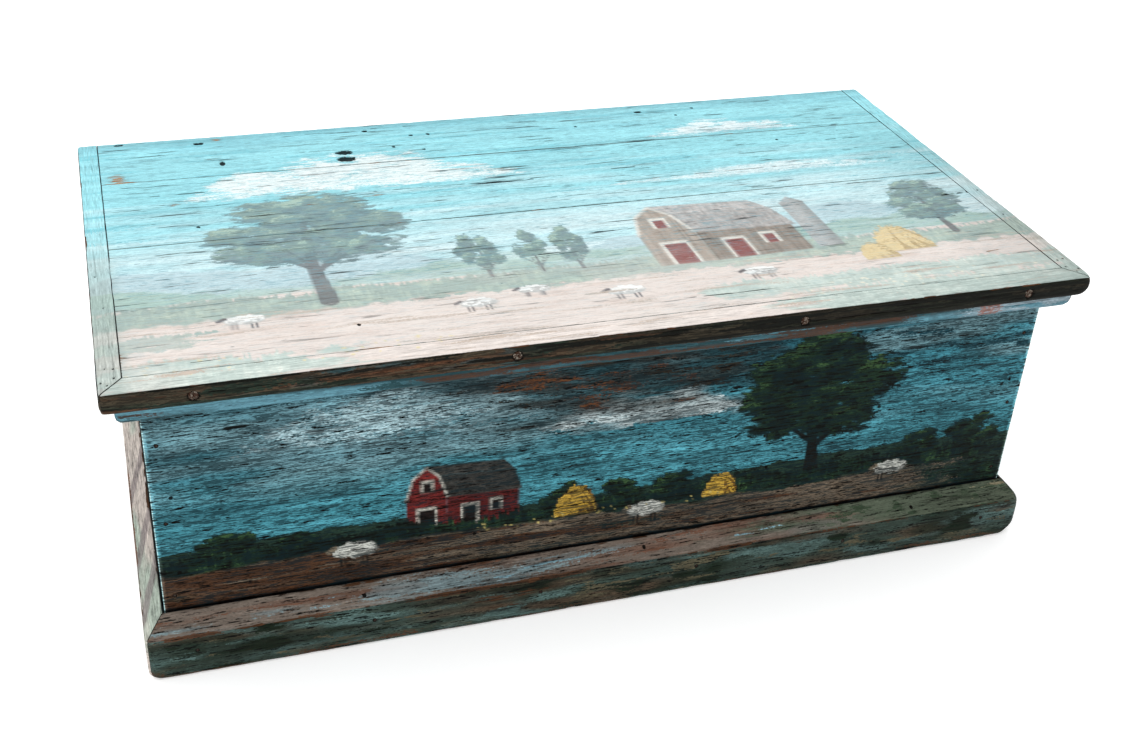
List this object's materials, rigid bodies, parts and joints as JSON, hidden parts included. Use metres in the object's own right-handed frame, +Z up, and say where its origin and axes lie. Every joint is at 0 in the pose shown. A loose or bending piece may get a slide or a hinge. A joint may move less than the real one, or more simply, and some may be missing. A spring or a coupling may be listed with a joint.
{
  "type": "painted chest",
  "caption": "Low wooden blanket chest with painted boards, a bevelled mitred plinth, and a flat edged lid with a moulded dust lip that swings up on hinges at the back.",
  "frame": {"origin": "on the floor, under the middle of the whole chest, hinge knuckles included", "axes": "+X to the right along the length, +Y from the front to the hinged back, +Z up"},
  "size_m": [0.96, 0.5304, 0.33],
  "materials": {
    "lid_paint": "worn landscape painting over boards, cracked and stained",
    "edging_paint": "dark brown paint worn to rust and teal on the faces, pale on top",
    "lip_paint": "light blue paint, streaked and rubbed",
    "front_paint": "worn landscape painting on dark teal",
    "side_paint": "plain dark teal paint, worn",
    "plinth_paint": "taupe bevel and dark green face, streaked with rust and blue",
    "back_wood": "unpainted boards, dull with age",
    "bare_wood": "unpainted softwood, dull with age",
    "old_iron": "dark iron with rust",
    "worn_steel": "worn steel with rust in the slots"
  },
  "bodies": {
    "case": {"front_board": "front_paint", "back_board": "back_wood", "left_end_board": "side_paint", "right_end_board": "side_paint", "bottom_board_front": "bare_wood", "bottom_board_middle": "bare_wood", "bottom_board_back": "bare_wood", "bottom_cleat_front": "bare_wood", "bottom_cleat_back": "bare_wood", "bottom_cleat_left": "bare_wood", "bottom_cleat_right": "bare_wood", "plinth_front": "plinth_paint", "plinth_left": "plinth_paint", "plinth_right": "plinth_paint", "hinge_left_case_leaf": "old_iron", "hinge_right_case_leaf": "old_iron", "hinge_left_pin": "worn_steel", "hinge_right_pin": "worn_steel", "front_board_nails": "old_iron", "back_board_nails": "old_iron", "plinth_nails": "old_iron", "cleat_nails": "old_iron", "bottom_board_nails": "old_iron", "hinge_case_screws": "worn_steel"},
    "lid": {"lid_board_back": "lid_paint", "lid_board_middle": "lid_paint", "lid_board_front": "lid_paint", "lid_edging_front": "edging_paint", "lid_edging_left": "edging_paint", "lid_edging_right": "edging_paint", "lid_lip_front": "lip_paint", "lid_lip_left": "lip_paint", "lid_lip_right": "lip_paint", "lid_batten_left": "bare_wood", "lid_batten_right": "bare_wood", "hinge_left_lid_leaf": "old_iron", "hinge_right_lid_leaf": "old_iron", "lid_edging_screws": "worn_steel", "lid_mitre_nails": "old_iron", "lid_lip_nails": "old_iron", "lid_batten_nails": "old_iron", "hinge_lid_screws": "worn_steel"}
  },
  "joints": [
    {"name": "lid_hinge", "type": "hinge", "parent": "case", "child": "lid", "pos_m": [0, 0.26165, 0.30785], "axis": [-1, 0, 0], "range_deg": [0, 105]}
  ]
}
